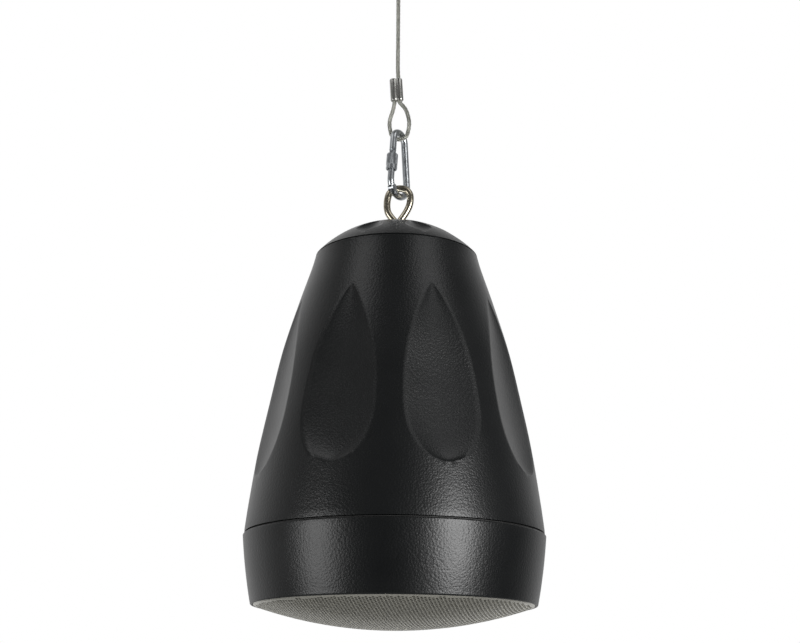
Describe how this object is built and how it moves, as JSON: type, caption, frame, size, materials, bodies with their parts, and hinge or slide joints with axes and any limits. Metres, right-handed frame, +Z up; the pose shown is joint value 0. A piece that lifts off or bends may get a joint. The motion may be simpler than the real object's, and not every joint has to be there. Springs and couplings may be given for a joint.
{
  "type": "hanging projector loudspeaker",
  "caption": "Bell-shaped hanging PA speaker with a dimpled housing, domed cap and perforated grille, on an eye bolt, a snap hook with locking sleeve and a looped wire rope.",
  "frame": {"origin": "where the upper loop of the wire rope bears on the hook that holds it, on the speaker's axis", "axes": "+Z up along the speaker's axis, -Y towards the viewer of the picture, the cable inlet at +Y"},
  "size_m": [0.2004, 0.2004, 0.5107],
  "materials": {
    "black_insulation": "black insulation",
    "black_plastic": "moulded",
    "black_rubber": "matte",
    "blued_steel": "black stoved",
    "bobbin_nylon": "natural nylon",
    "copper_winding": "enamelled copper wire",
    "core_lamination": "stacked steel laminations",
    "ferrite": "sintered ceramic magnet, dark grey",
    "ferrule_aluminium": "pressed, bright",
    "galvanised_rope": "stranded, dull grey",
    "grained_black_plastic": "fine leather grain, low sheen",
    "grille_steel": "warm silver-grey, satin",
    "phenolic_strip": "brown phenolic board",
    "pulp_cone": "pressed paper pulp",
    "red_insulation": "red insulation",
    "spider_cloth": "resin-dipped cloth",
    "stainless_wire": "polished",
    "winding_tape": "yellow polyester tape",
    "zinc_plated_steel": "bright zinc plating"
  },
  "bodies": {
    "suspension": {"suspension_rope": "galvanised_rope", "lower_ferrule": "ferrule_aluminium", "upper_ferrule": "ferrule_aluminium"},
    "carabiner": {"carabiner_body": "zinc_plated_steel", "gate_pin": "zinc_plated_steel"},
    "gate": {"carabiner_gate": "zinc_plated_steel"},
    "sleeve": {"locking_sleeve": "zinc_plated_steel"},
    "speaker": {"eye_bolt": "stainless_wire", "deck_washer": "zinc_plated_steel", "deck_nut": "zinc_plated_steel", "support_plate": "zinc_plated_steel", "lock_washer": "zinc_plated_steel", "lock_nut": "zinc_plated_steel", "top_cap": "grained_black_plastic", "cap_screw_1": "zinc_plated_steel", "cap_screw_2": "zinc_plated_steel", "cable_grommet": "black_rubber", "cable_gland": "black_plastic", "gland_nut": "black_plastic", "housing_shell": "grained_black_plastic", "ring_gasket": "black_rubber", "front_ring": "grained_black_plastic", "baffle_screw_1": "zinc_plated_steel", "baffle_screw_2": "zinc_plated_steel", "baffle_screw_3": "zinc_plated_steel", "baffle_screw_4": "zinc_plated_steel", "grille": "grille_steel", "driver_basket": "blued_steel", "driver_gasket": "black_rubber", "driver_screw_1": "zinc_plated_steel", "driver_screw_2": "zinc_plated_steel", "driver_screw_3": "zinc_plated_steel", "driver_screw_4": "zinc_plated_steel", "surround": "black_rubber", "spider": "spider_cloth", "magnet_top_plate": "zinc_plated_steel", "magnet": "ferrite", "magnet_yoke": "zinc_plated_steel", "transformer_core": "core_lamination", "transformer_frame": "zinc_plated_steel", "transformer_bobbin": "bobbin_nylon", "transformer_winding": "winding_tape", "transformer_pillar_left": "zinc_plated_steel", "transformer_screw_left": "zinc_plated_steel", "transformer_pillar_right": "zinc_plated_steel", "transformer_screw_right": "zinc_plated_steel", "terminal_block": "black_plastic", "terminal_screw_left": "zinc_plated_steel", "terminal_screw_right": "zinc_plated_steel", "driver_terminal": "phenolic_strip", "line_lead_red": "red_insulation", "driver_lead_red": "red_insulation", "line_lead_black": "black_insulation", "driver_lead_black": "black_insulation"},
    "cone_assembly": {"cone": "pulp_cone", "whizzer_cone": "pulp_cone", "dust_cap": "pulp_cone", "coil_former": "phenolic_strip", "voice_coil": "copper_winding"}
  },
  "joints": [
    {"name": "carabiner_swing", "type": "hinge", "parent": "suspension", "child": "carabiner", "pos_m": [0, 0, -0.1628], "axis": [1, 0, 0], "range_deg": [-15, 20]},
    {"name": "speaker_swing", "type": "hinge", "parent": "carabiner", "child": "speaker", "pos_m": [0.0012, 0, -0.2065], "axis": [0.5299, 0.848, 0], "range_deg": [-35, 35]},
    {"name": "gate_hinge", "type": "hinge", "parent": "carabiner", "child": "gate", "pos_m": [-0.00309, -0.00686, -0.20238], "axis": [0.848, -0.5299, 0], "range_deg": [-15, 0], "stiffness_Nm_per_rad": 0.05, "springref_deg": 17.19},
    {"name": "sleeve_travel", "type": "slide", "parent": "gate", "child": "sleeve", "axis": [0.052, 0.0832, 0.9952], "range_m": [0, 0.005]},
    {"name": "cone_travel", "type": "slide", "parent": "speaker", "child": "cone_assembly", "axis": [0, 0, 1], "range_m": [-0.003, 0.003], "stiffness_N_per_m": 1400, "deforming": ["surround", "spider"]}
  ]
}
